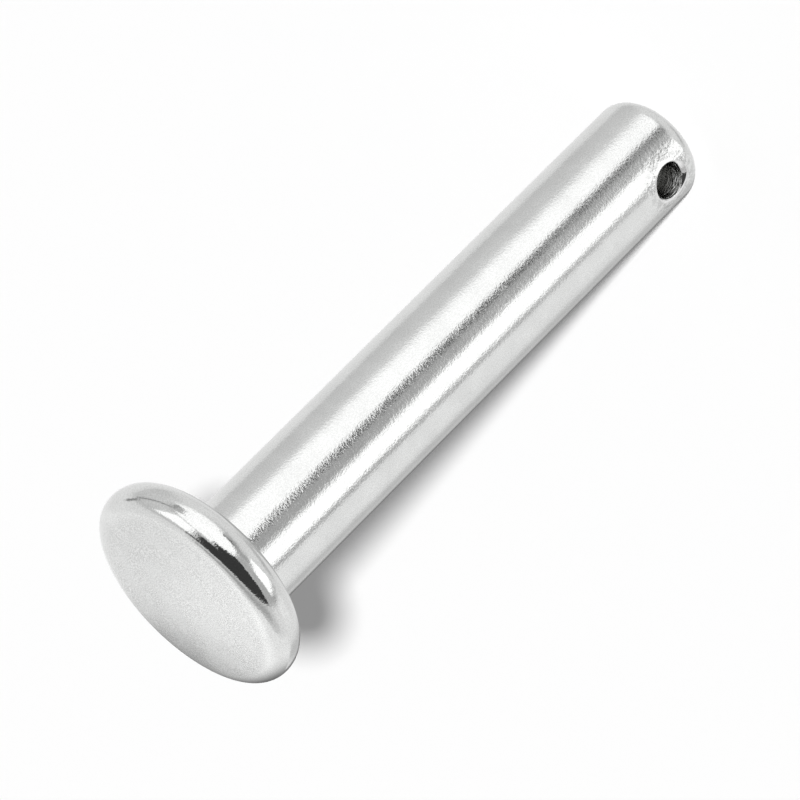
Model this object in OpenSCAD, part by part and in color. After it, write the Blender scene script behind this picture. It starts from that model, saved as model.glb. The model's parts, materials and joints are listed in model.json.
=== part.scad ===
// Axle bolt: a plain round shank with a broad button head, cross drilled at the tail for a split pin.
// Cold headed from one bar, so it is one solid. It stands on its tail, with the head on top.
// Millimetres. The shank's axis is Z, the tail's end face is at Z = 0 and the cross hole runs along X.

/* [Shank] */
// Diameter of the shank
shank_d = 12; // [8:0.5:14]
// Length of the shank, from the tail's end face to the seat under the head
shank_len = 68.5; // [30:0.5:150]
// Radius that rounds the edge of the tail
tail_round = 2; // [0.5:0.1:3]

/* [Head] */
// Diameter of the head
head_d = 23.7; // [21:0.1:40]
// Height of the head, from its seat to the middle of its face
head_h = 4.8; // [4:0.1:9]
// Rise of the face's middle above its edge
face_crown = 0.3; // [0.1:0.05:0.8]
// Radius between the face and the rim
front_round = 2; // [0.6:0.1:2.5]
// Radius between the rim and the seat
back_round = 2.4; // [0.6:0.1:3]
// Radius of the fillet between the seat and the shank
seat_fillet = 0.5; // [0.2:0.1:1]
// How far the upset head sits off the shank's axis
head_offset = 1; // [0:0.1:1.5]
// Direction of that offset about the shank, from the cross hole's axis
offset_turn = 131; // [0:1:359]

/* [Cross hole] */
// Diameter of the hole for the split pin
hole_d = 3.8; // [2:0.1:5]
// Distance from the tail's end face to the hole's middle
hole_back = 4.7; // [4:0.1:15]
// Depth of the countersink at each mouth of the hole
hole_sink = 0.4; // [0.2:0.05:0.9]

/* [Hidden] */
$fn = 128;

// Bright zinc
zinc = [0.78, 0.79, 0.8];
// Straight stretch that is always left on the rim, between its two rounds
least_land = 0.1;
// Angle of the countersink's wall from the hole's axis
sink_angle = 45;
// How far a cutter stands out of what it cuts
past = 1;
// Part of the head's height that the shank's core runs into
core_share = 0.5;

shank_r = shank_d / 2;
head_r = head_d / 2;
hole_r = hole_d / 2;

// Head levels, from the seat up, with the back round limited by the height of the rim
rim_h = head_h - face_crown;
front_r = front_round;
back_r = min(back_round, rim_h - front_r - least_land);
front_level = rim_h - front_r;
front_x = head_r - front_r;

// The crown is a ball's cap that runs smoothly into the front round
crown_angle = 2 * atan(face_crown / front_x);
crown_r = front_x / sin(crown_angle) + front_r;

// Part of a round disc between two directions, which are at most 180 degrees apart
module sector(r, from, to) {
    middle = (from + to) / 2;
    reach = 2 * r;
    intersection() {
        circle(r);
        polygon([
            [0, 0],
            reach * [cos(from), sin(from)],
            reach * sqrt(2) * [cos(middle), sin(middle)],
            reach * [cos(to), sin(to)]
        ]);
    }
}

// Half section of the shank, with its rounded tail, the fillet up to the seat and a core inside the head
module shank_section() {
    fillet_level = shank_len - seat_fillet;
    square([shank_r - tail_round, tail_round]);
    translate([shank_r - tail_round, tail_round])
        sector(tail_round, -90, 0);
    translate([0, tail_round])
        square([shank_r, fillet_level - tail_round]);
    translate([0, fillet_level])
        difference() {
            square([shank_r + seat_fillet, seat_fillet]);
            translate([shank_r + seat_fillet, 0])
                circle(seat_fillet);
        }
    translate([0, shank_len])
        square([shank_r, core_share * head_h]);
}

// Half section of the head's face: a shallow cap that ends where the front round starts
module crown_section() {
    wall = 2 * front_r * [sin(crown_angle), cos(crown_angle)];
    intersection() {
        translate([0, rim_h + face_crown - crown_r])
            circle(crown_r);
        polygon([
            [0, front_level],
            [front_x, front_level],
            [front_x, front_level] + wall,
            [0, front_level + 2 * front_r + face_crown]
        ]);
    }
}

// Half section of the head, with its seat at level 0
// The front round is a half disc, which lies partly in the crown
module head_section() {
    crown_section();
    translate([front_x, front_level])
        sector(front_r, 0, 180);
    translate([0, back_r])
        square([head_r, front_level - back_r]);
    square([head_r - back_r, back_r]);
    translate([head_r - back_r, back_r])
        sector(back_r, -90, 0);
}

module shank() {
    rotate_extrude()
        shank_section();
}

module head() {
    translate([head_offset, 0, shank_len])
        rotate_extrude()
            head_section();
}

// Countersink cutter at one mouth: a cone from inside the hole to outside the shank
module hole_countersink() {
    flare = tan(sink_angle);
    tip_r = hole_r / 2;
    tip_depth = hole_sink + (hole_r - tip_r) / flare;
    translate([0, 0, shank_r - tip_depth])
        cylinder(h = tip_depth + past, r1 = tip_r, r2 = hole_r + (hole_sink + past) * flare);
}

// Cutter for the cross hole and the countersinks at its two mouths
module cross_hole() {
    translate([0, 0, hole_back])
        rotate([0, 90, 0]) {
            cylinder(h = shank_d + 2 * past, r = hole_r, center = true);
            hole_countersink();
            mirror([0, 0, 1])
                hole_countersink();
        }
}

module axle_bolt() {
    color(zinc)
        difference() {
            rotate(offset_turn)
                union() {
                    shank();
                    head();
                }
            cross_hole();
        }
}

axle_bolt();
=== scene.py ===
"""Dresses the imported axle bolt: a smooth zinc-plated bolt, a pale floor, studio light and the camera."""

import json
import math
from collections import namedtuple

import bmesh
import bpy
from bpy.props import FloatProperty, FloatVectorProperty, IntProperty, PointerProperty
from mathutils import Matrix, Vector


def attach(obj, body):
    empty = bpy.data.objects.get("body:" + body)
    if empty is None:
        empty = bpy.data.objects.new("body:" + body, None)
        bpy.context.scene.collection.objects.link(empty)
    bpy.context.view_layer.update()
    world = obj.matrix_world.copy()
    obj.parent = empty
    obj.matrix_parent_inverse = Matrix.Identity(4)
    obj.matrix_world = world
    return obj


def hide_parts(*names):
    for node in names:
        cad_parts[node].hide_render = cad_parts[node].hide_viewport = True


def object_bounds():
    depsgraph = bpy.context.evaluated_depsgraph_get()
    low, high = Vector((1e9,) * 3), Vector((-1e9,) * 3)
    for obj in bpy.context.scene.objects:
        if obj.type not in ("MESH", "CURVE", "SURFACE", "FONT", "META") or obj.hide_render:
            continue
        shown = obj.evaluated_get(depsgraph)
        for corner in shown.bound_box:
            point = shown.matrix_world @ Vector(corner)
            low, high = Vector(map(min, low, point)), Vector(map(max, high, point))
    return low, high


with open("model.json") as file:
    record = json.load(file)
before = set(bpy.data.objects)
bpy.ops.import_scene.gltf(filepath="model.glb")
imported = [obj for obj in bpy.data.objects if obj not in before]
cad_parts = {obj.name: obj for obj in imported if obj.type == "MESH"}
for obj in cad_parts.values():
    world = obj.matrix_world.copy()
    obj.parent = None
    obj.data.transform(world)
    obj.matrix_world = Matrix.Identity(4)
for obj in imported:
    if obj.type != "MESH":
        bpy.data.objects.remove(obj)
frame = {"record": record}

bl_info = {
    "name": "Axle Bolt",
    "version": (1, 0, 0),
    "blender": (4, 5, 0),
    "location": "View3D > Sidebar > Axle Bolt",
    "description": "Builds the zinc-plated axle bolt and the studio that it stands in",
    "category": "Object",
}

BODY = "root"
NODE = "axle_bolt"
MM = 0.001
UP = Vector((0.0, 0.0, 1.0))
MOUNTS = {mount["name"]: mount for mount in frame["record"]["mounts"]}
CAD_LOW, CAD_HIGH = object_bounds()

# Steps along the arcs and the plain stretch of the bolt's section
TAIL_STEPS = 14
SHANK_STEPS = 20
FILLET_STEPS = 6
RIM_STEPS = 16
CROWN_STEPS = 12
# The window for a mouth of the cross hole takes one part in so many of the way round the shank
WINDOW_PARTS = 6
# Rings of edges in the patch round a mouth and along the hole's wall, and steps of the mouths' small rounds
PATCH_CUTS = 4
BORE_CUTS = 9
ROUND_STEPS = 3
# Points that lie closer than this, in metres, are one point
MERGE_DISTANCE = 1e-7
# How far a point may lie past the window's edge, in metres, and how far a face in it may lean
WINDOW_SLACK = 1e-6
WINDOW_LEAN = 0.01
# Weight of large faces over small ones in the smooth shading, from 1 to 100
LARGE_FACE_WEIGHT = 100

# Places of a Mix node's two inputs and of its output
MIX_NUMBERS = (2, 3, 0)
MIX_COLOURS = (6, 7, 2)

# A noise over the metal: its grains to the millimetre, its detail and the share of each finer layer
Noise = namedtuple("Noise", "scale detail roughness")
FINE_GRAIN = Noise(3.8, 1.0, 0.5)
SPECKLE = Noise(8.0, 1.0, 0.5)
CLOUDS = Noise(0.35, 3.0, 0.5)
SWELL = Noise(0.22, 1.0, 0.4)
SCUFFS = Noise(1.8, 2.0, 0.55)
DRILL_MARKS = Noise(1.0, 2.0, 0.6)
# The drill's marks run round the hole, so they are short along it
DRILL_STRETCH = (3.0, 0.5, 0.5)
Noises = namedtuple("Noises", "fine speckle clouds swell scuffs marks")

# Depths of the plate's fine grain and of its speckle, on each part of the bolt
Depths = namedtuple("Depths", "shank rim face")
GRAIN_DEPTHS = Depths(0.012 * MM, 0.008 * MM, 0.022 * MM)
SPECKLE_DEPTHS = Depths(0.008 * MM, 0.005 * MM, 0.024 * MM)
# Depths of the bar's slow waves, of the scuffs round the cross hole and of the drill's marks in it
SWELL_DEPTH = 0.04 * MM
SCUFF_DEPTH = 0.12 * MM
DEEP_MARKS = 0.02 * MM
MOUTH_MARKS = 0.28 * MM

# Where a finish starts and where it is full, in millimetres past the face's middle, the seat, the wall of the
# cross hole or the inner edge of a countersink
FACE_LEVEL = (-1.2, -0.5)
HEAD_LEVEL = (-0.3, 0.3)
# Painted shade under the head: it starts and is full at these heights above the seat
PAINTED_SHADE_UNDER_HEAD_LEVEL = (0.85, 0.5)
BORE_EDGE = (0.07, 0.01)
# Painted highlight round each mouth of the cross hole: it starts and is full at these distances
PAINTED_LIP_HIGHLIGHT_EDGE = (0.55, 0.25)
SCUFFS_OUTSIDE = (2.4, 0.6)
SCUFFS_INSIDE = (0.2, 0.6)
# Near the mouths the bore's colour goes back to the zinc's, painted light that falls in from outside, and the
# drill's marks are deeper
MARKED_STRETCH = (-2.2, -0.5)
# The same for the edge of the matt face, past the rim and as shares of the front round's radius
FACE_EDGE = (-0.55, -1.25)
Areas = namedtuple("Areas", "head face under_head bore lip scuffed near_mouth")

# The stretch of each noise that counts, and the shades or the gloss at its two ends
CLOUD_RANGE = (0.3, 0.7)
CLOUD_GLOSS = (0.86, 1.14)
CLOUD_SHADE = 0.94
SPECKLE_RANGE = (0.36, 0.64)
SHANK_SPECK_SHADE = 0.90
FACE_SPECK_SHADE = 0.76
SPECK_LIGHT = 1.03
SCUFF_RANGE = (0.38, 0.58)
SCUFF_SHADES = (0.78, 1.0)
MARK_RANGE = (0.3, 0.7)
MARK_SHADES = (0.72, 1.15)

# The camera's own axes in the part's frame, from the angle that the picture is taken at
CAMERA_RIGHT = Vector((0.70774, -0.32128, -0.62919))
CAMERA_UP = Vector((-0.22028, 0.74585, -0.62863))
CAMERA_BACK = Vector((0.67125, 0.58351, 0.45710))
SENSOR_WIDTH = 36.0
# The way that counts as up for the studio, which is built for a bolt that lies across the picture
STUDIO_UP = Vector((0.40550, 0.91410, 0.0)).normalized()
STUDIO_ACROSS = STUDIO_UP.cross(UP)

# The key light: how wide it looks, and how far and which way it stands beside the camera
KEY_WIDTH = math.radians(2.2)
KEY_OFFSET = math.radians(1.8)
KEY_SIDE = (CAMERA_UP * 0.87 - CAMERA_RIGHT * 0.5).normalized()
# Even light that fills the key light's shadow on the floor
FILL_LIGHT = 0.32
# Brightness of what the camera sees beyond the floor
BACKGROUND_LIGHT = 0.97

# The lit card starts this far behind the face, and its light is centred this far across
CARD_START = 4 * MM
CARD_MIDDLE = 2 * MM
# Its light rises away from the face, falls again further out, and is even beside the middle; the low light
# near the face is a painted contact shadow
CARD_RISE = (-3 * MM, 6 * MM)
CARD_LIGHTS = (0.15, 1.08)
CARD_FALL = (20 * MM, 38 * MM)
CARD_LOSS = 0.34
CARD_BESIDE = (5 * MM, 16 * MM)
CARD_BESIDE_LIGHT = 0.90

# Light of the studio by height in degrees, from straight down to straight up: a pale table, a grey wall and
# a bright ceiling
STUDIO_HEIGHTS = (
    (-90, 0.46),
    (-80, 0.70),
    (-66, 0.80),
    (-50, 0.86),
    (-30, 0.83),
    (-12, 0.81),
    (-1, 0.75),
    (1, 0.61),
    (14, 0.63),
    (36, 0.70),
    (48, 0.54),
    (58, 0.48),
    (62, 1.20),
    (90, 1.30),
)
# A lit or dark area of the studio in degrees: its middle and half width round the bolt, its lowest and
# highest height, the softness of its edge, its light, and how much it falls for each degree to the right
Panel = namedtuple("Panel", "name middle half low high edge light fall", defaults=(0.0,))
# Each panel is painted over the ones before it
STUDIO_PANELS = (
    Panel("backdrop", 38, 42, 1, 42, 8, 0.78),
    Panel("table_under_the_head", -30, 70, -95, -63, 2.5, 0.30),
    Panel("table_beside_the_shank", 22, 24, -95, -52.5, 5, 0.22),
    Panel("table_below_the_right", 70, 34, -66, -48, 8, 0.57),
    Panel("table_on_the_right", 98, 16, -34, -3, 5, 0.88),
    Panel("table_edge_ahead", 52, 13, -7, 7, 5, 0.54),
    Panel("table_before_the_camera", -176, 38, -30, 1, 10, 0.62),
    Panel("table_edge_behind", -160, 37, -18, -4, 4, 0.42),
    Panel("table_before_the_face", -112, 46, -60, -40, 8, 0.96),
    Panel("overhead_softbox", 11, 37, 46.4, 80, 8, 1.20, -0.15),
    Panel("overhead_softbox_left", -112, 40, 49, 80, 3, 1.20),
    Panel("ceiling_edge_left", -42, 16, 46.5, 50.5, 1.5, 0.33),
    Panel("left_wall_edge", -58, 3, 4, 46, 2, 0.33),
    Panel("left_wall_foot", -64.5, 3.5, -12, 5, 2, 0.25),
    Panel("right_wall", 128, 16, 1, 56, 5, 0.48),
    Panel("right_ceiling", 84, 22, 42, 58, 2.5, 0.42),
    Panel("right_ceiling_corner", 74, 9, 36, 47.5, 1, 0.72),
    Panel("right_ceiling_edge", 66, 10.5, 56.3, 61, 0.7, 0.04, 0.22),
    Panel("left_softbox", -107, 16, 11, 46, 4, 1.25),
    Panel("right_softbox", 98, 16, 9, 37, 3, 1.30),
    Panel("right_table_edge", 110, 9.5, 0.5, 6, 1.5, 0.42),
    Panel("dark_room", -171, 43, 1.5, 39, 2.5, 0.045),
    Panel("dark_room_top", 179, 31, 36, 58, 2, 0.045),
    Panel("dark_room_foot", -126, 6, 1.5, 10, 3, 0.08),
)


class AxleBoltSizes(bpy.types.PropertyGroup):
    """Sizes of the bolt that the metal is modelled to."""

    shank_radius: FloatProperty(
        name="Shank radius",
        description="Radius of the plain shank",
        default=MOUNTS["shank"]["dims"]["r_mm"] * MM,
        min=0.003,
        unit="LENGTH",
    )
    seat_level: FloatProperty(
        name="Seat level",
        description="Height of the seat under the head above the tail's end face",
        default=MOUNTS["head_seat"]["pos_m"][2],
        min=0.02,
        unit="LENGTH",
    )
    top_level: FloatProperty(
        name="Top level",
        description="Height of the middle of the head's face above the tail's end face",
        default=CAD_HIGH.z,
        min=0.02,
        unit="LENGTH",
    )
    tail_round: FloatProperty(
        name="Tail round",
        description="Radius that rounds the edge of the tail",
        default=2.0 * MM,
        min=0.0003,
        unit="LENGTH",
    )
    head_radius: FloatProperty(
        name="Head radius",
        description="Radius of the head",
        default=11.85 * MM,
        min=0.008,
        unit="LENGTH",
    )
    face_crown: FloatProperty(
        name="Face crown",
        description="Rise of the face's middle above its edge",
        default=0.3 * MM,
        min=0.00005,
        unit="LENGTH",
    )
    front_round: FloatProperty(
        name="Front round",
        description="Radius between the face and the rim",
        default=2.0 * MM,
        min=0.0003,
        unit="LENGTH",
    )
    back_round: FloatProperty(
        name="Back round",
        description="Radius between the rim and the seat",
        default=2.4 * MM,
        min=0.0003,
        unit="LENGTH",
    )
    seat_fillet: FloatProperty(
        name="Seat fillet",
        description="Radius between the shank and the seat",
        default=0.5 * MM,
        min=0.0001,
        unit="LENGTH",
    )
    head_offset: FloatProperty(
        name="Head offset",
        description="How far the upset head sits off the shank's axis",
        default=1.0 * MM,
        min=0.0,
        unit="LENGTH",
    )
    offset_turn: FloatProperty(
        name="Offset turn",
        description="Direction of that offset, from the cross hole's axis",
        default=math.radians(131.0),
        subtype="ANGLE",
    )
    hole_radius: FloatProperty(
        name="Hole radius",
        description="Radius of the cross hole",
        default=MOUNTS["cross_hole"]["dims"]["r_mm"] * MM,
        min=0.0005,
        unit="LENGTH",
    )
    hole_level: FloatProperty(
        name="Hole level",
        description="Height of the cross hole's axis above the tail's end face",
        default=MOUNTS["cross_hole"]["pos_m"][2],
        min=0.002,
        unit="LENGTH",
    )
    hole_reach: FloatProperty(
        name="Hole reach",
        description="Distance from the shank's axis to the inner edge of a countersink",
        default=MOUNTS["cross_hole"]["dims"]["length_mm"] * MM / 2,
        min=0.001,
        unit="LENGTH",
    )
    mouth_round: FloatProperty(
        name="Mouth round",
        description="Width of the small round on each edge of a countersink",
        default=0.04 * MM,
        min=0.0,
        unit="LENGTH",
    )
    steps: IntProperty(
        name="Steps",
        description="Steps round the bolt, a multiple of 12",
        default=192,
        min=48,
    )


class AxleBoltFinish(bpy.types.PropertyGroup):
    """Colours and gloss of the zinc plate."""

    zinc: FloatVectorProperty(
        name="Zinc",
        description="Colour of the bright zinc plate",
        default=(0.870, 0.876, 0.868),
        min=0.0,
        max=1.0,
        subtype="COLOR",
    )
    # Deep in the hole the colour is darker, partly thinner plate and partly painted shade of the recess
    bore: FloatVectorProperty(
        name="Bore",
        description="Colour deep in the cross hole, where its drilled wall takes less plate",
        default=(0.44, 0.44, 0.43),
        min=0.0,
        max=1.0,
        subtype="COLOR",
    )
    # Painted shade: the seat and the foot of the rim are coloured darker where the head shades them, not a
    # duller plate
    seat: FloatVectorProperty(
        name="Seat",
        description="Colour of the dull plate under the head, where no polish reaches",
        default=(0.42, 0.42, 0.42),
        min=0.0,
        max=1.0,
        subtype="COLOR",
    )
    # Painted highlight: the edge round each mouth is coloured lighter to stand in for the gleam on its round
    lip: FloatVectorProperty(
        name="Lip",
        description="Colour of the deburred edge round each mouth of the cross hole",
        default=(0.96, 0.96, 0.955),
        min=0.0,
        max=1.0,
        subtype="COLOR",
    )
    shank_roughness: FloatProperty(
        name="Shank roughness",
        description="Roughness of the drawn shank",
        default=0.08,
        min=0.0,
        max=1.0,
        subtype="FACTOR",
    )
    rim_roughness: FloatProperty(
        name="Rim roughness",
        description="Roughness of the head's polished rim",
        default=0.07,
        min=0.0,
        max=1.0,
        subtype="FACTOR",
    )
    face_roughness: FloatProperty(
        name="Face roughness",
        description="Roughness of the head's matt face",
        default=0.28,
        min=0.0,
        max=1.0,
        subtype="FACTOR",
    )
    bore_roughness: FloatProperty(
        name="Bore roughness",
        description="Roughness of the drilled wall of the cross hole",
        default=0.20,
        min=0.0,
        max=1.0,
        subtype="FACTOR",
    )


class AxleBoltStudio(bpy.types.PropertyGroup):
    """The floor, the light and the camera."""

    floor: FloatVectorProperty(
        name="Floor",
        description="Colour of the floor",
        default=(0.88, 0.88, 0.88),
        min=0.0,
        max=1.0,
        subtype="COLOR",
    )
    floor_width: FloatProperty(
        name="Floor width",
        description="Width of the floor",
        default=12.0,
        min=1.0,
        unit="LENGTH",
    )
    key_strength: FloatProperty(
        name="Key strength",
        description="Strength of the soft light that lights the floor",
        default=5.57,
        min=0.0,
    )
    card_width: FloatProperty(
        name="Card width",
        description="Width of the lit card that stands before the head's face",
        default=60 * MM,
        min=0.01,
        unit="LENGTH",
    )
    card_reach: FloatProperty(
        name="Card reach",
        description="How far the lit card reaches out from under the head",
        default=44 * MM,
        min=0.01,
        unit="LENGTH",
    )
    card_drop: FloatProperty(
        name="Card drop",
        description="Distance from the shank's axis to the lit card",
        default=11.55 * MM,
        min=0.01,
        unit="LENGTH",
    )
    lens: FloatProperty(
        name="Lens",
        description="Focal length of the camera in millimetres",
        default=236.88,
        min=10.0,
    )
    camera_place: FloatVectorProperty(
        name="Camera place",
        description="Where the camera stands",
        default=(0.347126, 0.301527, 0.277956),
        subtype="TRANSLATION",
        unit="LENGTH",
    )


def head_place(sizes):
    """Where the upset head's own axis stands beside the shank's."""
    return Matrix.Rotation(sizes.offset_turn, 3, "Z") @ Vector((sizes.head_offset, 0.0, 0.0))


def only(kind, items):
    """The points, the edges or the faces among what an operator has made."""
    return [item for item in items if isinstance(item, kind)]


def draw_line(bm, vert, x, z):
    """Draws the section on to a point, and returns its end."""
    end = bmesh.ops.extrude_vert_indiv(bm, verts=[vert])["verts"][0]
    end.co = (x, 0.0, z)
    return end


def draw_rows(bm, vert, x, low, high, rows):
    """Draws the section up a straight wall in equal rows, and returns its end."""
    for row in range(1, rows + 1):
        vert = draw_line(bm, vert, x, low + (high - low) * row / rows)
    return vert


def draw_arc(bm, vert, x, z, angle, steps):
    """Draws the section on along an arc about a centre, and returns its end."""
    made = bmesh.ops.spin(
        bm, geom=[vert], cent=(x, 0.0, z), axis=(0.0, 1.0, 0.0), angle=angle, steps=steps
    )
    return only(bmesh.types.BMVert, made["geom_last"])[0]


def revolve(bm, steps):
    """Turns the section about the Z axis, and closes its seam and poles."""
    section = list(bm.verts) + list(bm.edges)
    bmesh.ops.spin(
        bm, geom=section, cent=(0, 0, 0), axis=(0, 0, 1), angle=math.tau, steps=steps, use_merge=True
    )
    bmesh.ops.remove_doubles(bm, verts=list(bm.verts), dist=MERGE_DISTANCE)


def add_shank(bm, sizes):
    """The shank, from the middle of the tail's end face to the top of the seat's fillet."""
    radius, tail, fillet = sizes.shank_radius, sizes.tail_round, sizes.seat_fillet
    window_top = sizes.hole_level * 2 - tail
    top = sizes.seat_level - fillet
    vert = bm.verts.new((0.0, 0.0, 0.0))
    vert = draw_line(bm, vert, (radius - tail) / 2, 0.0)
    vert = draw_line(bm, vert, radius - tail, 0.0)
    vert = draw_arc(bm, vert, radius - tail, tail, -math.pi / 2, TAIL_STEPS)
    vert = draw_rows(bm, vert, radius, tail, window_top, sizes.steps // WINDOW_PARTS)
    vert = draw_rows(bm, vert, radius, window_top, top, SHANK_STEPS)
    draw_arc(bm, vert, radius + fillet, top, math.pi / 2, FILLET_STEPS)
    revolve(bm, sizes.steps)


def add_head(bm, sizes):
    """The head, from the outer edge of its seat to the middle of its crowned face."""
    seat, radius = sizes.seat_level, sizes.head_radius
    front, back = sizes.front_round, sizes.back_round
    rim_top = sizes.top_level - sizes.face_crown
    front_x = radius - front
    crown_angle = 2 * math.atan(sizes.face_crown / front_x)
    crown_radius = front_x / math.sin(crown_angle) + front
    vert = bm.verts.new((radius - back, 0.0, seat))
    vert = draw_arc(bm, vert, radius - back, seat + back, -math.pi / 2, RIM_STEPS)
    vert = draw_line(bm, vert, radius, rim_top - front)
    vert = draw_arc(bm, vert, front_x, rim_top - front, crown_angle - math.pi / 2, RIM_STEPS)
    draw_arc(bm, vert, 0.0, sizes.top_level - crown_radius, -crown_angle, CROWN_STEPS)
    revolve(bm, sizes.steps)
    bmesh.ops.translate(bm, verts=list(bm.verts), vec=head_place(sizes))


def wall_depth(sizes, across):
    """How far along the hole the shank's wall lies, at a distance across the shank."""
    return math.sqrt(sizes.shank_radius**2 - across**2)


def mouth_radius(sizes, across):
    """Distance from the hole's axis to a countersink's edge, for a direction's share across the shank."""
    start = sizes.hole_radius - sizes.hole_reach
    spread = 1 + across**2
    return (start + math.sqrt(start**2 - spread * (start**2 - sizes.shank_radius**2))) / spread


def cut_window(bm, sizes, side):
    """Cuts the window for one mouth out of the shank's wall, and returns the edges round it."""
    level = sizes.hole_level
    half_height = level - sizes.tail_round
    half_width = sizes.shank_radius * math.sin(math.pi / WINDOW_PARTS)

    def in_window(face):
        middle = face.calc_center_median()
        on_side = middle.x * side > 0 and abs(middle.y) < half_width
        return on_side and abs(middle.z - level) < half_height and abs(face.normal.z) < WINDOW_LEAN

    def by_window(vert):
        return vert.co.x * side > 0 and abs(vert.co.z - level) < half_height + WINDOW_SLACK

    bm.normal_update()
    bmesh.ops.delete(bm, geom=[face for face in bm.faces if in_window(face)], context="FACES")
    return [edge for edge in bm.edges if edge.is_boundary and all(map(by_window, edge.verts))]


def draw_mouth(bm, sizes, side):
    """Draws the outer edge of one countersink on the shank's wall, and returns its edges."""
    points = 4 * (sizes.steps // WINDOW_PARTS)
    ring = bmesh.ops.create_circle(bm, segments=points, radius=1.0)["verts"]
    bmesh.ops.rotate(bm, verts=ring, matrix=Matrix.Rotation(math.pi / 2, 3, "Y"))
    for vert in ring:
        reach = mouth_radius(sizes, vert.co.y)
        across = reach * vert.co.y
        vert.co = (side * wall_depth(sizes, across), across, sizes.hole_level + reach * vert.co.z)
    return list({edge for vert in ring for edge in vert.link_edges})


def fill_patch(bm, sizes, side, window, mouth):
    """Fills the shank's wall between the window's edges and the mouth."""
    made = bmesh.ops.bridge_loops(bm, edges=window + mouth)
    rays = [edge for edge in made["edges"] if edge not in window and edge not in mouth]
    cut = bmesh.ops.subdivide_edges(bm, edges=rays, cuts=PATCH_CUTS, use_grid_fill=True)
    for vert in only(bmesh.types.BMVert, cut["geom_inner"]):
        vert.co.x = side * wall_depth(sizes, vert.co.y)


def sink_mouth(bm, sizes, side, mouth):
    """Draws one countersink in from its outer edge, and returns the edges at its inner end."""
    sunk = bmesh.ops.extrude_edge_only(bm, edges=mouth)["geom"]
    for vert in only(bmesh.types.BMVert, sunk):
        spoke = Vector((0.0, vert.co.y, vert.co.z - sizes.hole_level)).normalized() * sizes.hole_radius
        vert.co = (side * sizes.hole_reach, spoke.y, sizes.hole_level + spoke.z)
    return [edge for edge in only(bmesh.types.BMEdge, sunk) if edge.is_boundary]


def add_cross_hole(bm, sizes):
    """Opens both mouths of the cross hole, joins them by its wall and rounds their edges."""
    mouths, ends = [], []
    for side in (1, -1):
        window = cut_window(bm, sizes, side)
        mouth = draw_mouth(bm, sizes, side)
        fill_patch(bm, sizes, side, window, mouth)
        mouths += mouth
        ends += sink_mouth(bm, sizes, side, mouth)
    made = bmesh.ops.bridge_loops(bm, edges=ends)
    rays = [edge for edge in made["edges"] if edge not in ends]
    bmesh.ops.subdivide_edges(bm, edges=rays, cuts=BORE_CUTS, use_grid_fill=True)
    bmesh.ops.bevel(
        bm,
        geom=mouths + ends,
        offset=sizes.mouth_round,
        offset_type="OFFSET",
        affect="EDGES",
        segments=ROUND_STEPS,
        profile=0.5,
        material=-1,
        clamp_overlap=True,
    )


def join_into(bm, other):
    """Copies another mesh under construction into this one."""
    carrier = bpy.data.meshes.new("carrier")
    other.to_mesh(carrier)
    other.free()
    bm.from_mesh(carrier)
    bpy.data.meshes.remove(carrier)


def finished_mesh(bm, name):
    """Turns what was built into a mesh."""
    mesh = bpy.data.meshes.new(name)
    bm.to_mesh(mesh)
    bm.free()
    return mesh


def bolt_mesh(sizes):
    """The whole bolt as one closed mesh."""
    bm = bmesh.new()
    add_shank(bm, sizes)
    add_cross_hole(bm, sizes)
    head = bmesh.new()
    add_head(head, sizes)
    join_into(bm, head)
    seat_edges = [edge for edge in bm.edges if edge.is_boundary]
    bmesh.ops.bridge_loops(bm, edges=seat_edges)
    bmesh.ops.recalc_face_normals(bm, faces=list(bm.faces))
    for face in bm.faces:
        face.smooth = True
    open_edges = sum(1 for edge in bm.edges if not edge.is_manifold)
    if open_edges:
        bm.free()
        raise RuntimeError(f"the bolt's mesh is open at {open_edges} edges")
    return finished_mesh(bm, "axle_bolt_metal")


def flat_sheet(name, spread, material):
    """A flat sheet, spread out from a unit square."""
    bm = bmesh.new()
    bmesh.ops.create_grid(bm, x_segments=1, y_segments=1, size=0.5, matrix=spread)
    mesh = finished_mesh(bm, name)
    mesh.materials.append(material)
    return bpy.data.objects.new(name, mesh)


def rgba(colour):
    """A colour in the form that a colour socket takes."""
    return tuple(colour) + (1.0,)


def new_material(name):
    """A new material, with its nodes and its shader."""
    material = bpy.data.materials.new(name)
    material.use_nodes = True
    return material, material.node_tree, material.node_tree.nodes["Principled BSDF"]


def add_node(tree, kind, **settings):
    """A new node with some of its settings."""
    node = tree.nodes.new(kind)
    for name, value in settings.items():
        setattr(node, name, value)
    return node


def feed(tree, target, source):
    """Gives an input a number, or the output of another node."""
    if isinstance(source, bpy.types.NodeSocket):
        tree.links.new(source, target)
    else:
        target.default_value = source


def calc(tree, operation, *terms):
    """One sum on numbers or outputs."""
    node = add_node(tree, "ShaderNodeMath", operation=operation)
    for target, term in zip(node.inputs, terms):
        feed(tree, target, term)
    return node.outputs[0]


def calc_vector(tree, operation, *terms):
    """One vector sum, which gives a number for a product or a length."""
    node = add_node(tree, "ShaderNodeVectorMath", operation=operation)
    for target, term in zip(node.inputs, terms):
        feed(tree, target, term)
    return node.outputs["Value" if operation in ("DOT_PRODUCT", "LENGTH") else "Vector"]


def scale(tree, vector, factor):
    """A place or a colour times a number."""
    node = add_node(tree, "ShaderNodeVectorMath", operation="SCALE")
    feed(tree, node.inputs[0], vector)
    feed(tree, node.inputs["Scale"], factor)
    return node.outputs["Vector"]


def fade(tree, value, start, end, low=0.0, high=1.0):
    """Goes smoothly from low at start to high at end."""
    node = add_node(tree, "ShaderNodeMapRange", interpolation_type="SMOOTHSTEP")
    names = ("Value", "From Min", "From Max", "To Min", "To Max")
    for name, term in zip(names, (value, start, end, low, high)):
        feed(tree, node.inputs[name], term)
    return node.outputs["Result"]


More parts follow.
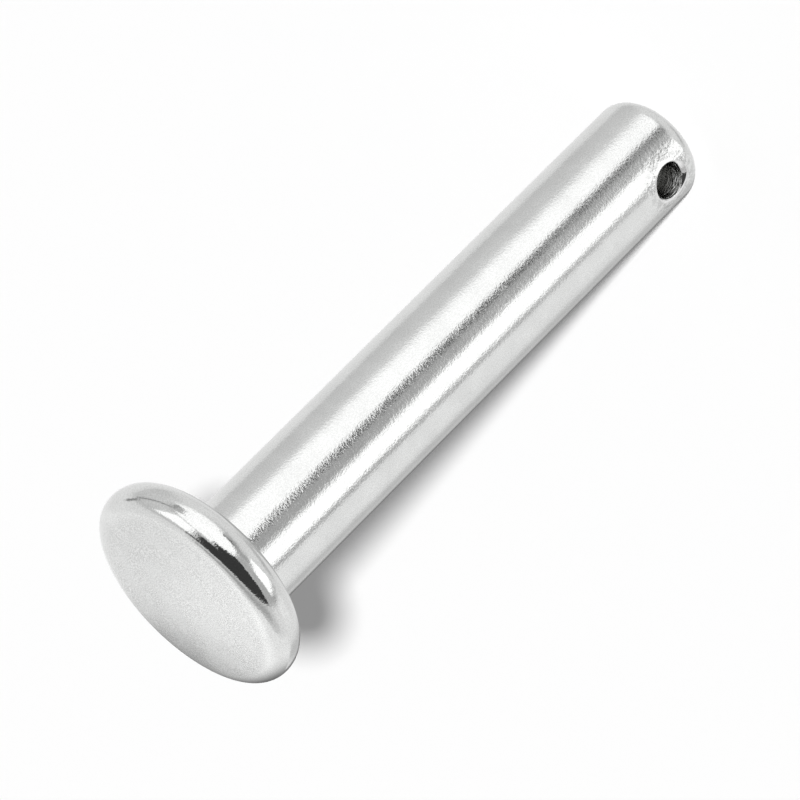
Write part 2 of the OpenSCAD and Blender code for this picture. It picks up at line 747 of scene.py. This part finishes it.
def fade_past(tree, value, base, limits):
    """Goes smoothly from 0 to 1 between two distances past a base."""
    start, end = limits
    return fade(tree, value, base + start, base + end)


def mix(tree, kind, places, share, first, second):
    """Something between two others of its kind."""
    node = add_node(tree, "ShaderNodeMix", data_type=kind)
    first_place, second_place, result_place = places
    feed(tree, node.inputs[0], share)
    feed(tree, node.inputs[first_place], first)
    feed(tree, node.inputs[second_place], second)
    return node.outputs[result_place]


def blend(tree, share, first, second):
    """A number between two others."""
    return mix(tree, "FLOAT", MIX_NUMBERS, share, first, second)


def blend_colour(tree, share, first, second):
    """A colour between two others."""
    return mix(tree, "RGBA", MIX_COLOURS, share, first, second)


def grain(tree, place, noise):
    """A noise over the surface."""
    node = add_node(tree, "ShaderNodeTexNoise", noise_dimensions="3D")
    feed(tree, node.inputs["Vector"], place)
    node.inputs["Scale"].default_value = noise.scale
    node.inputs["Detail"].default_value = noise.detail
    node.inputs["Roughness"].default_value = noise.roughness
    return node.outputs["Fac"]


def bump(tree, height, distance, normal=None):
    """Turns a height into a bump of that many metres."""
    node = add_node(tree, "ShaderNodeBump")
    node.inputs["Strength"].default_value = 1.0
    feed(tree, node.inputs["Distance"], distance)
    feed(tree, node.inputs["Height"], height)
    if normal is not None:
        feed(tree, node.inputs["Normal"], normal)
    return node.outputs["Normal"]


def metal_areas(tree, sizes, in_mm):
    """How far a point of the metal belongs to the head, its face or its underside with painted shade, or the
    hole or its edges, where the lip carries a painted highlight.
    """
    parts = add_node(tree, "ShaderNodeSeparateXYZ")
    feed(tree, parts.inputs[0], in_mm)
    level = parts.outputs["Z"]
    top, seat = sizes.top_level / MM, sizes.seat_level / MM
    rim, front = sizes.head_radius / MM, sizes.front_round / MM
    from_head = calc_vector(tree, "SUBTRACT", in_mm, head_place(sizes) / MM)
    from_axis = calc_vector(tree, "LENGTH", calc_vector(tree, "MULTIPLY", from_head, (1.0, 1.0, 0.0)))
    head = fade_past(tree, level, seat, HEAD_LEVEL)
    on_top = fade_past(tree, level, top, FACE_LEVEL)
    near_middle = fade_past(tree, from_axis, rim, [share * front for share in FACE_EDGE])
    low_down = fade_past(tree, level, seat, PAINTED_SHADE_UNDER_HEAD_LEVEL)

    hole, mouth = sizes.hole_radius / MM, sizes.hole_reach / MM
    from_hole = calc_vector(tree, "SUBTRACT", in_mm, (0.0, 0.0, sizes.hole_level / MM))
    distance = calc_vector(tree, "LENGTH", calc_vector(tree, "MULTIPLY", from_hole, (0.0, 1.0, 1.0)))
    outside = fade_past(tree, distance, hole, SCUFFS_OUTSIDE)
    inside = fade_past(tree, distance, hole, SCUFFS_INSIDE)
    return Areas(
        head=head,
        face=calc(tree, "MULTIPLY", on_top, near_middle),
        under_head=calc(tree, "MULTIPLY", head, low_down),
        bore=fade_past(tree, distance, hole, BORE_EDGE),
        lip=fade_past(tree, distance, hole, PAINTED_LIP_HIGHLIGHT_EDGE),
        scuffed=calc(tree, "MULTIPLY", outside, inside),
        near_mouth=fade_past(tree, calc(tree, "ABSOLUTE", parts.outputs["X"]), mouth, MARKED_STRETCH),
    )


def metal_noises(tree, in_mm):
    """The noises that the plate's grain, clouds, waves, scuffs and drill marks are made of."""
    return Noises(
        fine=grain(tree, in_mm, FINE_GRAIN),
        speckle=grain(tree, in_mm, SPECKLE),
        clouds=grain(tree, in_mm, CLOUDS),
        swell=grain(tree, in_mm, SWELL),
        scuffs=grain(tree, in_mm, SCUFFS),
        marks=grain(tree, calc_vector(tree, "MULTIPLY", in_mm, DRILL_STRETCH), DRILL_MARKS),
    )


def by_part(tree, areas, shank, rim, face):
    """A number that differs on the shank, on the head's rim and on its face."""
    return blend(tree, areas.face, blend(tree, areas.head, shank, rim), face)


def metal_roughness(tree, finish, areas, noises):
    """Roughness of the plate, a little uneven."""
    rough = by_part(tree, areas, finish.shank_roughness, finish.rim_roughness, finish.face_roughness)
    rough = blend(tree, areas.bore, rough, finish.bore_roughness)
    return calc(tree, "MULTIPLY", rough, fade(tree, noises.clouds, *CLOUD_RANGE, *CLOUD_GLOSS))


def metal_colour(tree, finish, areas, noises):
    """Colour of the plate: clouded, speckled and scuffed, with a painted highlight round the hole's mouths,
    painted shade under the head, and darker deep in the hole, partly thinner plate and partly painted shade.
    """
    zinc = rgba(finish.zinc)
    clouded = rgba(channel * CLOUD_SHADE for channel in finish.zinc)
    colour = blend_colour(tree, fade(tree, noises.clouds, *CLOUD_RANGE), clouded, zinc)
    # Painted highlight round each mouth of the cross hole
    colour = blend_colour(tree, areas.lip, colour, rgba(finish.lip))
    # Painted shade under the head, on the seat and the foot of the rim
    colour = blend_colour(tree, areas.under_head, colour, rgba(finish.seat))
    darkest = blend(tree, areas.face, SHANK_SPECK_SHADE, FACE_SPECK_SHADE)
    colour = scale(tree, colour, fade(tree, noises.speckle, *SPECKLE_RANGE, darkest, SPECK_LIGHT))
    scuff_shade = fade(tree, noises.scuffs, *SCUFF_RANGE, *SCUFF_SHADES)
    colour = scale(tree, colour, blend(tree, areas.scuffed, 1.0, scuff_shade))
    # The bore is darker deep in the hole, partly thinner plate and partly painted shade, and lighter near the
    # mouths, painted light
    bore = blend_colour(tree, areas.near_mouth, rgba(finish.bore), zinc)
    bore = scale(tree, bore, fade(tree, noises.marks, *MARK_RANGE, *MARK_SHADES))
    return blend_colour(tree, areas.bore, colour, bore)


def metal_normal(tree, areas, noises):
    """The plate's fine relief: slow waves, scuffs, grain, speckle and the drill's marks."""
    normal = bump(tree, noises.swell, SWELL_DEPTH)
    normal = bump(tree, noises.scuffs, calc(tree, "MULTIPLY", areas.scuffed, SCUFF_DEPTH), normal)
    normal = bump(tree, noises.fine, by_part(tree, areas, *GRAIN_DEPTHS), normal)
    normal = bump(tree, noises.speckle, by_part(tree, areas, *SPECKLE_DEPTHS), normal)
    depth = blend(tree, areas.near_mouth, DEEP_MARKS, MOUTH_MARKS)
    return bump(tree, noises.marks, calc(tree, "MULTIPLY", areas.bore, depth), normal)


def zinc_material(sizes, finish):
    """Bright zinc plate: a grainy drawn shank, a polished rim, a matt face and a darker drilled hole, partly
    thinner plate and partly painted shade, with painted shade under the head and a painted highlight round
    the hole's mouths.
    """
    material, tree, shader = new_material("bright_zinc_plate")
    in_mm = scale(tree, add_node(tree, "ShaderNodeTexCoord").outputs["Object"], 1 / MM)
    areas = metal_areas(tree, sizes, in_mm)
    noises = metal_noises(tree, in_mm)
    feed(tree, shader.inputs["Roughness"], metal_roughness(tree, finish, areas, noises))
    feed(tree, shader.inputs["Base Color"], metal_colour(tree, finish, areas, noises))
    feed(tree, shader.inputs["Normal"], metal_normal(tree, areas, noises))
    shader.inputs["Metallic"].default_value = 1.0
    return material


def floor_material(colour):
    """A plain pale matt floor."""
    material, _, shader = new_material("pale_floor")
    shader.inputs["Base Color"].default_value = rgba(colour)
    shader.inputs["Roughness"].default_value = 1.0
    shader.inputs["Specular IOR Level"].default_value = 0.0
    return material


def card_material(face_level):
    """A lit card whose light is painted darker towards the head: a painted contact shadow, as a table has
    where something lies on it.
    """
    material, tree, shader = new_material("lit_card")
    place = add_node(tree, "ShaderNodeTexCoord").outputs["Object"]
    away = calc(tree, "SUBTRACT", calc_vector(tree, "DOT_PRODUCT", place, UP), face_level)
    rise = fade(tree, away, *CARD_RISE, *CARD_LIGHTS)
    light = calc(tree, "SUBTRACT", rise, fade(tree, away, *CARD_FALL, 0.0, CARD_LOSS))
    across = calc_vector(tree, "DOT_PRODUCT", place, STUDIO_ACROSS)
    beside = calc(tree, "ABSOLUTE", calc(tree, "SUBTRACT", across, CARD_MIDDLE))
    light = blend(tree, fade(tree, beside, *CARD_BESIDE), light, CARD_BESIDE_LIGHT)
    shader.inputs["Base Color"].default_value = (0.0, 0.0, 0.0, 1.0)
    shader.inputs["Specular IOR Level"].default_value = 0.0
    shader.inputs["Emission Color"].default_value = (1.0, 1.0, 1.0, 1.0)
    feed(tree, shader.inputs["Emission Strength"], light)
    return material


def pale_floor(studio):
    """The floor, which the gloss of the metal doesn't show."""
    spread = Matrix.Diagonal((studio.floor_width, studio.floor_width, 1.0, 1.0))
    floor = flat_sheet("floor", spread, floor_material(studio.floor))
    floor.visible_glossy = False
    return floor


def lit_card(studio, face_level):
    """The card before the head's face, which shows only in the gloss of the metal."""
    middle = UP * (face_level - CARD_START + studio.card_reach / 2) - STUDIO_UP * studio.card_drop
    sides = (STUDIO_ACROSS * studio.card_width, UP * studio.card_reach, STUDIO_UP)
    spread = Matrix.Translation(middle) @ Matrix(sides).transposed().to_4x4()
    card = flat_sheet("lit_card", spread, card_material(face_level))
    card.visible_camera = False
    card.visible_diffuse = False
    card.visible_shadow = False
    return card


def panel_share(tree, azimuth, elevation, panel):
    """How much a panel of the studio covers a direction, with a soft edge."""
    turn = calc(tree, "SUBTRACT", azimuth, math.radians(panel.middle))
    turn = calc(tree, "WRAP", turn, math.pi, -math.pi)
    height = calc(tree, "MULTIPLY_ADD", turn, panel.fall, elevation)
    turn = calc(tree, "ABSOLUTE", turn)
    half, low, high, edge = map(math.radians, (panel.half, panel.low, panel.high, panel.edge))
    across = fade(tree, turn, half + edge, half - edge)
    above = fade(tree, height, low - edge, low + edge)
    below = fade(tree, height, high + edge, high - edge)
    return calc(tree, "MULTIPLY", across, calc(tree, "MULTIPLY", above, below))


def light_by_height(tree, elevation):
    """Light of the studio by height alone."""
    heights = add_node(tree, "ShaderNodeValToRGB")
    ramp = heights.color_ramp
    while len(ramp.elements) < len(STUDIO_HEIGHTS):
        ramp.elements.new(1.0)
    peak = max(light for _, light in STUDIO_HEIGHTS)
    for element, (angle, light) in zip(ramp.elements, STUDIO_HEIGHTS):
        element.position = (angle + 90) / 180
        element.color = (light / peak, light / peak, light / peak, 1.0)
    feed(tree, heights.inputs["Fac"], calc(tree, "MULTIPLY_ADD", elevation, 1 / math.pi, 0.5))
    return calc(tree, "MULTIPLY", heights.outputs["Color"], peak)


def studio_world():
    """The studio round the bolt: table, walls, ceiling, softboxes and the dark room behind the camera."""
    world = bpy.data.worlds.new("studio")
    world.use_nodes = True
    tree = world.node_tree
    background = tree.nodes["Background"]
    direction = add_node(tree, "ShaderNodeTexCoord").outputs["Generated"]
    right = (CAMERA_RIGHT - STUDIO_UP * CAMERA_RIGHT.dot(STUDIO_UP)).normalized()
    ahead = STUDIO_UP.cross(right)
    rightwards = calc_vector(tree, "DOT_PRODUCT", direction, right)
    forwards = calc_vector(tree, "DOT_PRODUCT", direction, ahead)
    upwards = calc_vector(tree, "DOT_PRODUCT", direction, STUDIO_UP)
    azimuth = calc(tree, "ARCTAN2", rightwards, forwards)
    elevation = calc(tree, "ARCSINE", upwards)

    light = light_by_height(tree, elevation)
    for panel in STUDIO_PANELS:
        light = blend(tree, panel_share(tree, azimuth, elevation, panel), light, panel.light)
    path = add_node(tree, "ShaderNodeLightPath")
    light = blend(tree, path.outputs["Is Diffuse Ray"], light, FILL_LIGHT)
    light = blend(tree, path.outputs["Is Camera Ray"], light, BACKGROUND_LIGHT)
    feed(tree, background.inputs["Strength"], light)
    background.inputs["Color"].default_value = (1.0, 1.0, 1.0, 1.0)
    return world


def key_light(studio):
    """The light that throws the bolt's soft shadow, close beside the camera."""
    key = bpy.data.lights.new("key", "SUN")
    key.energy = studio.key_strength
    key.angle = KEY_WIDTH
    lamp = bpy.data.objects.new("key", key)
    towards = (CAMERA_BACK + KEY_SIDE * math.tan(KEY_OFFSET)).normalized()
    lamp.rotation_mode = "QUATERNION"
    lamp.rotation_quaternion = towards.to_track_quat("Z", "Y")
    lamp.visible_glossy = False
    return lamp


def studio_camera(studio):
    """The camera, at the angle that the picture is taken at."""
    camera = bpy.data.objects.new("camera", bpy.data.cameras.new("camera"))
    camera.data.lens = studio.lens
    camera.data.sensor_width = SENSOR_WIDTH
    turn = Matrix((CAMERA_RIGHT, CAMERA_UP, CAMERA_BACK)).transposed().to_4x4()
    camera.matrix_world = Matrix.Translation(studio.camera_place) @ turn
    return camera


class AXLEBOLT_OT_metal(bpy.types.Operator):
    """Build the zinc-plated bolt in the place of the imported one"""

    bl_idname = "axle_bolt.metal"
    bl_label = "Zinc-plated bolt"

    def execute(self, context):
        sizes = context.scene.axle_bolt_sizes
        bolt = bpy.data.objects.new("axle_bolt_metal", bolt_mesh(sizes))
        context.scene.collection.objects.link(bolt)
        bolt.data.materials.append(zinc_material(sizes, context.scene.axle_bolt_finish))
        weighted = bolt.modifiers.new("even_normals", "WEIGHTED_NORMAL")
        weighted.mode = "FACE_AREA"
        weighted.weight = LARGE_FACE_WEIGHT
        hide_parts(NODE)
        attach(bolt, BODY)
        return {"FINISHED"}


class AXLEBOLT_OT_stage(bpy.types.Operator):
    """Build the floor, the studio's light and the camera"""

    bl_idname = "axle_bolt.stage"
    bl_label = "Floor, light and camera"

    def execute(self, context):
        scene = context.scene
        studio = scene.axle_bolt_studio
        floor = pale_floor(studio)
        scene.collection.objects.link(floor)
        card = lit_card(studio, scene.axle_bolt_sizes.top_level)
        scene.collection.objects.link(card)
        scene.world = studio_world()
        scene.view_settings.view_transform = "Standard"
        scene.collection.objects.link(key_light(studio))
        scene.camera = studio_camera(studio)
        scene.collection.objects.link(scene.camera)
        return {"FINISHED"}


class AXLEBOLT_PT_panel(bpy.types.Panel):
    """The bolt's sizes, its finish and its studio"""

    bl_idname = "AXLEBOLT_PT_panel"
    bl_label = "Axle Bolt"
    bl_space_type = "VIEW_3D"
    bl_region_type = "UI"
    bl_category = "Axle Bolt"

    def draw(self, context):
        scene = context.scene
        for label, group, operator in (
            ("Sizes", scene.axle_bolt_sizes, None),
            ("Finish", scene.axle_bolt_finish, AXLEBOLT_OT_metal.bl_idname),
            ("Studio", scene.axle_bolt_studio, AXLEBOLT_OT_stage.bl_idname),
        ):
            box = self.layout.box()
            box.label(text=label)
            for name in group.bl_rna.properties.keys():
                if name not in ("rna_type", "name"):
                    box.prop(group, name)
            if operator:
                box.operator(operator)


CLASSES = (
    AxleBoltSizes,
    AxleBoltFinish,
    AxleBoltStudio,
    AXLEBOLT_OT_metal,
    AXLEBOLT_OT_stage,
    AXLEBOLT_PT_panel,
)


def register():
    for item in CLASSES:
        bpy.utils.register_class(item)
    bpy.types.Scene.axle_bolt_sizes = PointerProperty(type=AxleBoltSizes)
    bpy.types.Scene.axle_bolt_finish = PointerProperty(type=AxleBoltFinish)
    bpy.types.Scene.axle_bolt_studio = PointerProperty(type=AxleBoltStudio)


def unregister():
    del bpy.types.Scene.axle_bolt_studio
    del bpy.types.Scene.axle_bolt_finish
    del bpy.types.Scene.axle_bolt_sizes
    for item in reversed(CLASSES):
        bpy.utils.unregister_class(item)


def main():
    register()
    bpy.ops.axle_bolt.metal()
    bpy.ops.axle_bolt.stage()


if __name__ == "__main__":
    main()
